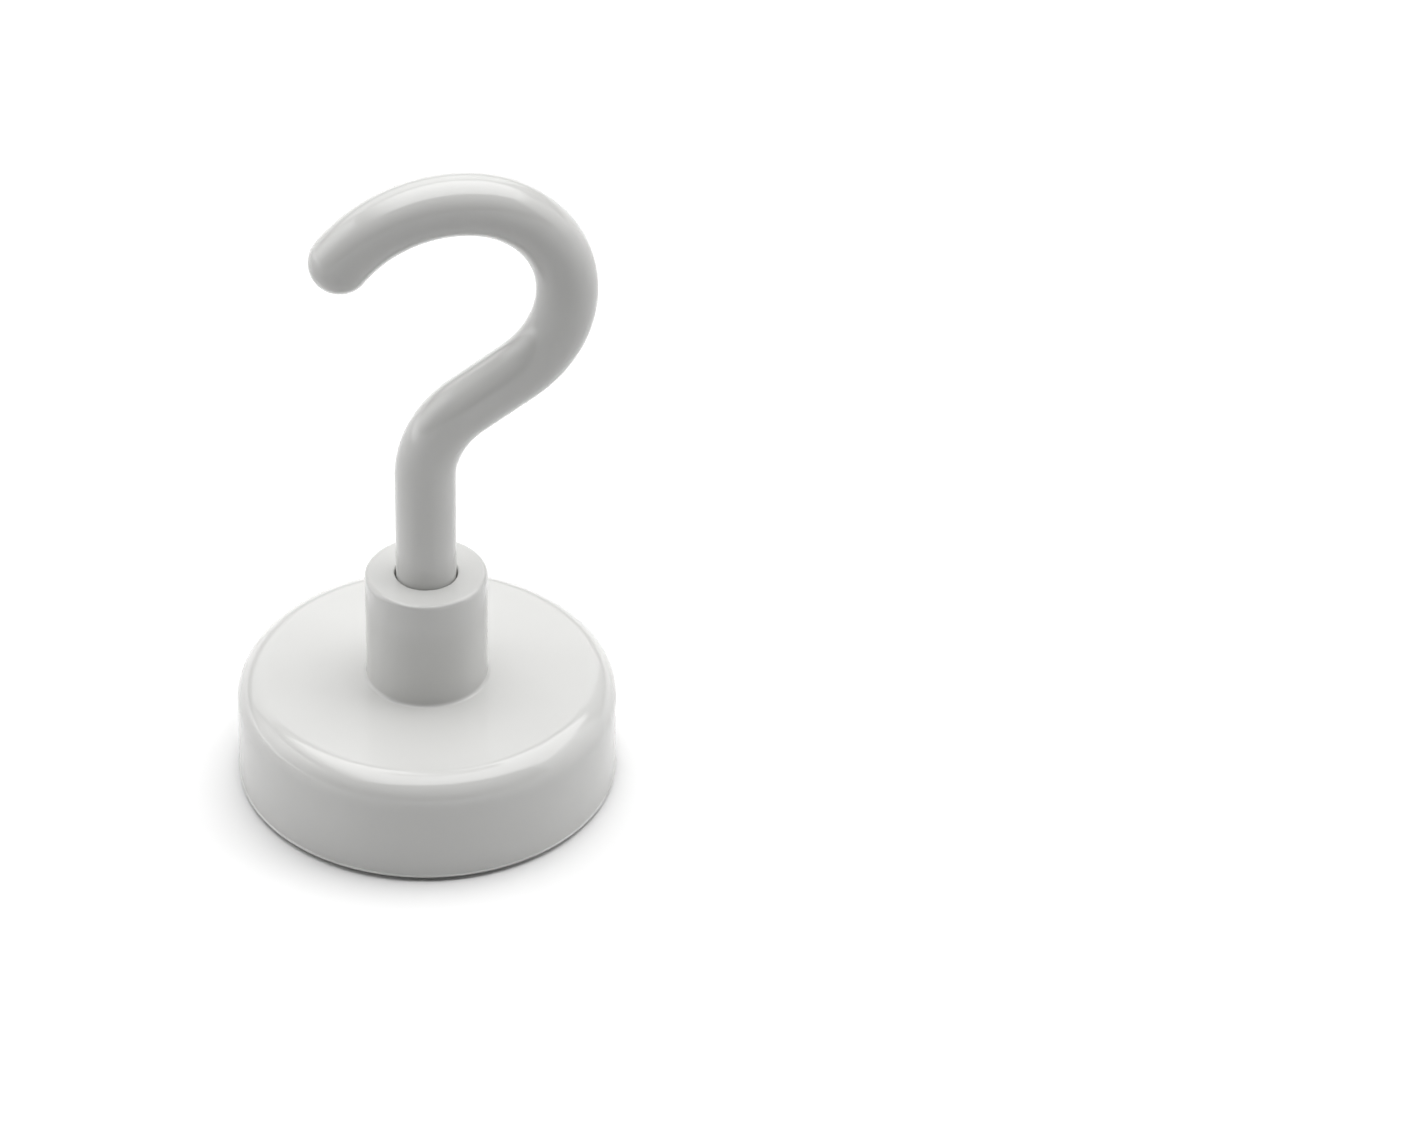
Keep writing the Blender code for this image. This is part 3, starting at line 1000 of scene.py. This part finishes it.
class HOOK_OT_inside(bpy.types.Operator):
    """Finish the magnet, its glue and the pad's adhesive film, which stay as the CAD made them"""

    bl_idname = "magnetic_hook.inside"
    bl_label = "Magnet, glue and film"

    def execute(self, context):
        colours = context.scene.magnetic_hook.colours
        finishes = {
            "magnet_disc": kept("bright_nickel_plate", bright_nickel, colours),
            "magnet_glue": kept("cured_acrylic_glue", cured_glue, colours),
            "pad_adhesive": kept("tissue_tape_film", tissue_film, colours),
        }
        for node, material in finishes.items():
            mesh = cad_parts[node].data
            mesh.materials.clear()
            mesh.materials.append(material)
        return {"FINISHED"}


def add_softbox(box, radiance):
    """A rectangular area lamp. Its energy is pi times its area for each unit of brightness."""
    lamp = bpy.data.lights.new(box.name, "AREA")
    lamp.shape = "RECTANGLE"
    lamp.size = box.width
    lamp.size_y = box.height
    lamp.energy = radiance * math.pi * box.width * box.height
    if box.fade:
        lamp.use_nodes = True
        tree = lamp.node_tree
        tree.nodes.clear()
        spot = add_node(tree, "ShaderNodeNewGeometry").outputs["Parametric"]
        along = add_node(tree, "ShaderNodeSeparateXYZ", {"Vector": spot}).outputs["X"]
        off = add_node(tree, "ShaderNodeMath", {0: along, 1: 0.5}, operation="SUBTRACT").outputs[0]
        off = add_node(tree, "ShaderNodeMath", {0: off}, operation="ABSOLUTE").outputs[0]
        glow = add_node(
            tree,
            "ShaderNodeMapRange",
            {"Value": off, "From Min": 0.5 - box.fade, "From Max": 0.5, "To Min": 1.0, "To Max": 0.0},
            interpolation_type="SMOOTHSTEP",
        )
        emission = add_node(tree, "ShaderNodeEmission", {"Strength": glow.outputs["Result"]})
        add_node(tree, "ShaderNodeOutputLight", {"Surface": emission.outputs[0]})
    holder = bpy.data.objects.new(box.name, lamp)
    holder.location = box.place
    holder.rotation_mode = "QUATERNION"
    holder.rotation_quaternion = Vector(box.facing).to_track_quat("-Z", "Y")
    holder.visible_camera = False
    bpy.context.scene.collection.objects.link(holder)


def seen_rays(tree):
    """Socket that is 1 for camera, glossy and transmission rays, which see the background as white."""
    path = add_node(tree, "ShaderNodeLightPath")
    glossy = add_node(
        tree,
        "ShaderNodeMath",
        {0: path.outputs["Is Camera Ray"], 1: path.outputs["Is Glossy Ray"]},
        operation="MAXIMUM",
    )
    return add_node(
        tree,
        "ShaderNodeMath",
        {0: glossy.outputs[0], 1: path.outputs["Is Transmission Ray"]},
        operation="MAXIMUM",
    ).outputs[0]


class HOOK_OT_studio(bpy.types.Operator):
    """Set up the pale floor, the soft lamps, the room and the camera"""

    bl_idname = "magnetic_hook.studio"
    bl_label = "Studio"

    def execute(self, context):
        settings = context.scene.magnetic_hook
        studio = settings.studio
        self.floor(settings.colours)
        self.room(context.scene, studio)
        for box in SOFTBOXES:
            add_softbox(box, getattr(studio, box.brightness))
        self.camera(context.scene)
        context.scene.view_settings.view_transform = "Standard"
        return {"FINISHED"}

    def floor(self, colours):
        """A pale floor, white where a camera or a mirror sees it, with the object's shadow on it."""
        material, tree = new_material("pale_floor")
        seen = seen_rays(tree)
        place = add_node(tree, "ShaderNodeTexCoord").outputs["Object"]
        away = add_node(tree, "ShaderNodeVectorMath", {0: place}, operation="LENGTH").outputs["Value"]
        far = add_node(
            tree, "ShaderNodeMapRange", {"Value": away, "From Min": FLOOR_NEAR, "From Max": FLOOR_FAR}
        )
        bounced = add_node(
            tree,
            "ShaderNodeMix",
            {0: far.outputs["Result"], 6: tint(colours.floor, 1.0), 7: tint(colours.far_floor, 1.0)},
            data_type="RGBA",
        )
        face = add_node(
            tree, "ShaderNodeMix", {0: seen, 6: bounced.outputs[2], 7: (1.0, 1.0, 1.0, 1.0)}, data_type="RGBA"
        )
        diffuse = add_node(tree, "ShaderNodeBsdfDiffuse", {"Color": face.outputs[2]})
        clear = add_node(tree, "ShaderNodeBsdfTransparent")
        under = add_node(tree, "ShaderNodeNewGeometry").outputs["Backfacing"]
        sided = add_node(tree, "ShaderNodeMixShader", {0: under, 1: diffuse.outputs[0], 2: clear.outputs[0]})
        add_node(tree, "ShaderNodeOutputMaterial", {"Surface": sided.outputs[0]})
        corners = np.array([(-1, -1), (1, -1), (1, 1), (-1, 1)]) * FLOOR_REACH
        points = np.column_stack([corners, np.full(4, -FLOOR_DROP)])
        mesh_object("studio_floor", points, [(0, 1, 2, 3)], material)

    def room(self, scene, studio):
        """A dim room round a low backdrop, which is white where a camera or a mirror sees it."""
        world = bpy.data.worlds.new("dim_room")
        world.use_nodes = True
        tree = world.node_tree
        tree.nodes.clear()
        dim = add_node(tree, "ShaderNodeBackground", {"Color": (1, 1, 1, 1), "Strength": studio.room})
        level = add_node(tree, "ShaderNodeMix", {0: seen_rays(tree), 2: studio.backdrop, 3: 1.0})
        backdrop = add_node(
            tree, "ShaderNodeBackground", {"Color": (1, 1, 1, 1), "Strength": level.outputs[0]}
        )
        direction = add_node(tree, "ShaderNodeTexCoord").outputs["Generated"]
        height = add_node(tree, "ShaderNodeSeparateXYZ", {"Vector": direction}).outputs["Z"]
        low = add_node(tree, "ShaderNodeMath", {0: height, 1: BACKDROP_TOP}, operation="LESS_THAN")
        mixed = add_node(
            tree, "ShaderNodeMixShader", {0: low.outputs[0], 1: dim.outputs[0], 2: backdrop.outputs[0]}
        )
        add_node(tree, "ShaderNodeOutputWorld", {"Surface": mixed.outputs[0]})
        scene.world = world

    def camera(self, scene):
        """The camera of the photograph, fitted to the edges of the pot and the boss."""
        distance, aim_height = 320 * MM, 0.15 * MM
        azimuth, elevation = math.radians(-10), math.radians(38.17)
        heading, pitch, roll = math.radians(-14.06), math.radians(35.773), math.radians(1.833)
        lens = bpy.data.cameras.new("camera")
        lens.lens = 122.66
        lens.sensor_width = 36.0
        lens.clip_start = 0.01
        lens.clip_end = 10.0
        holder = bpy.data.objects.new("camera", lens)
        holder.location = (
            distance * math.sin(azimuth) * math.cos(elevation),
            -distance * math.cos(azimuth) * math.cos(elevation),
            distance * math.sin(elevation) + aim_height,
        )
        turn = Matrix.Rotation(heading, 3, "Z") @ Matrix.Rotation(math.radians(90) - pitch, 3, "X")
        holder.rotation_euler = (turn @ Matrix.Rotation(roll, 3, "Z")).to_euler()
        scene.collection.objects.link(holder)
        scene.camera = holder


OPERATORS = (
    HOOK_OT_pot,
    HOOK_OT_boss,
    HOOK_OT_rod,
    HOOK_OT_pad,
    HOOK_OT_resin,
    HOOK_OT_inside,
    HOOK_OT_studio,
)
GROUPS = (PotSizes, BossSizes, ThreadSizes, RodSizes, PadSizes, Colours, Studio, HookSettings)


class HOOK_PT_panel(bpy.types.Panel):
    """The pieces and what a user may change"""

    bl_idname = "HOOK_PT_panel"
    bl_label = "Magnetic hook"
    bl_space_type = "VIEW_3D"
    bl_region_type = "UI"
    bl_category = "Magnetic hook"

    def draw(self, context):
        settings = context.scene.magnetic_hook
        for operator in OPERATORS:
            self.layout.operator(operator.bl_idname)
        for group in ("pot", "boss", "thread", "rod", "pad", "colours", "studio"):
            box = self.layout.box()
            box.label(text=group.capitalize())
            values = getattr(settings, group)
            for name in values.bl_rna.properties.keys():
                if name not in ("rna_type", "name"):
                    box.prop(values, name)


def register():
    for group in (*GROUPS, *OPERATORS, HOOK_PT_panel):
        bpy.utils.register_class(group)
    bpy.types.Scene.magnetic_hook = PointerProperty(type=HookSettings)


def unregister():
    del bpy.types.Scene.magnetic_hook
    for group in reversed((*GROUPS, *OPERATORS, HOOK_PT_panel)):
        bpy.utils.unregister_class(group)


def main():
    register()
    bpy.ops.magnetic_hook.pot()
    bpy.ops.magnetic_hook.boss()
    bpy.ops.magnetic_hook.rod()
    bpy.ops.magnetic_hook.pad()
    bpy.ops.magnetic_hook.resin()
    bpy.ops.magnetic_hook.inside()
    bpy.ops.magnetic_hook.studio()


if __name__ == "__main__":
    main()
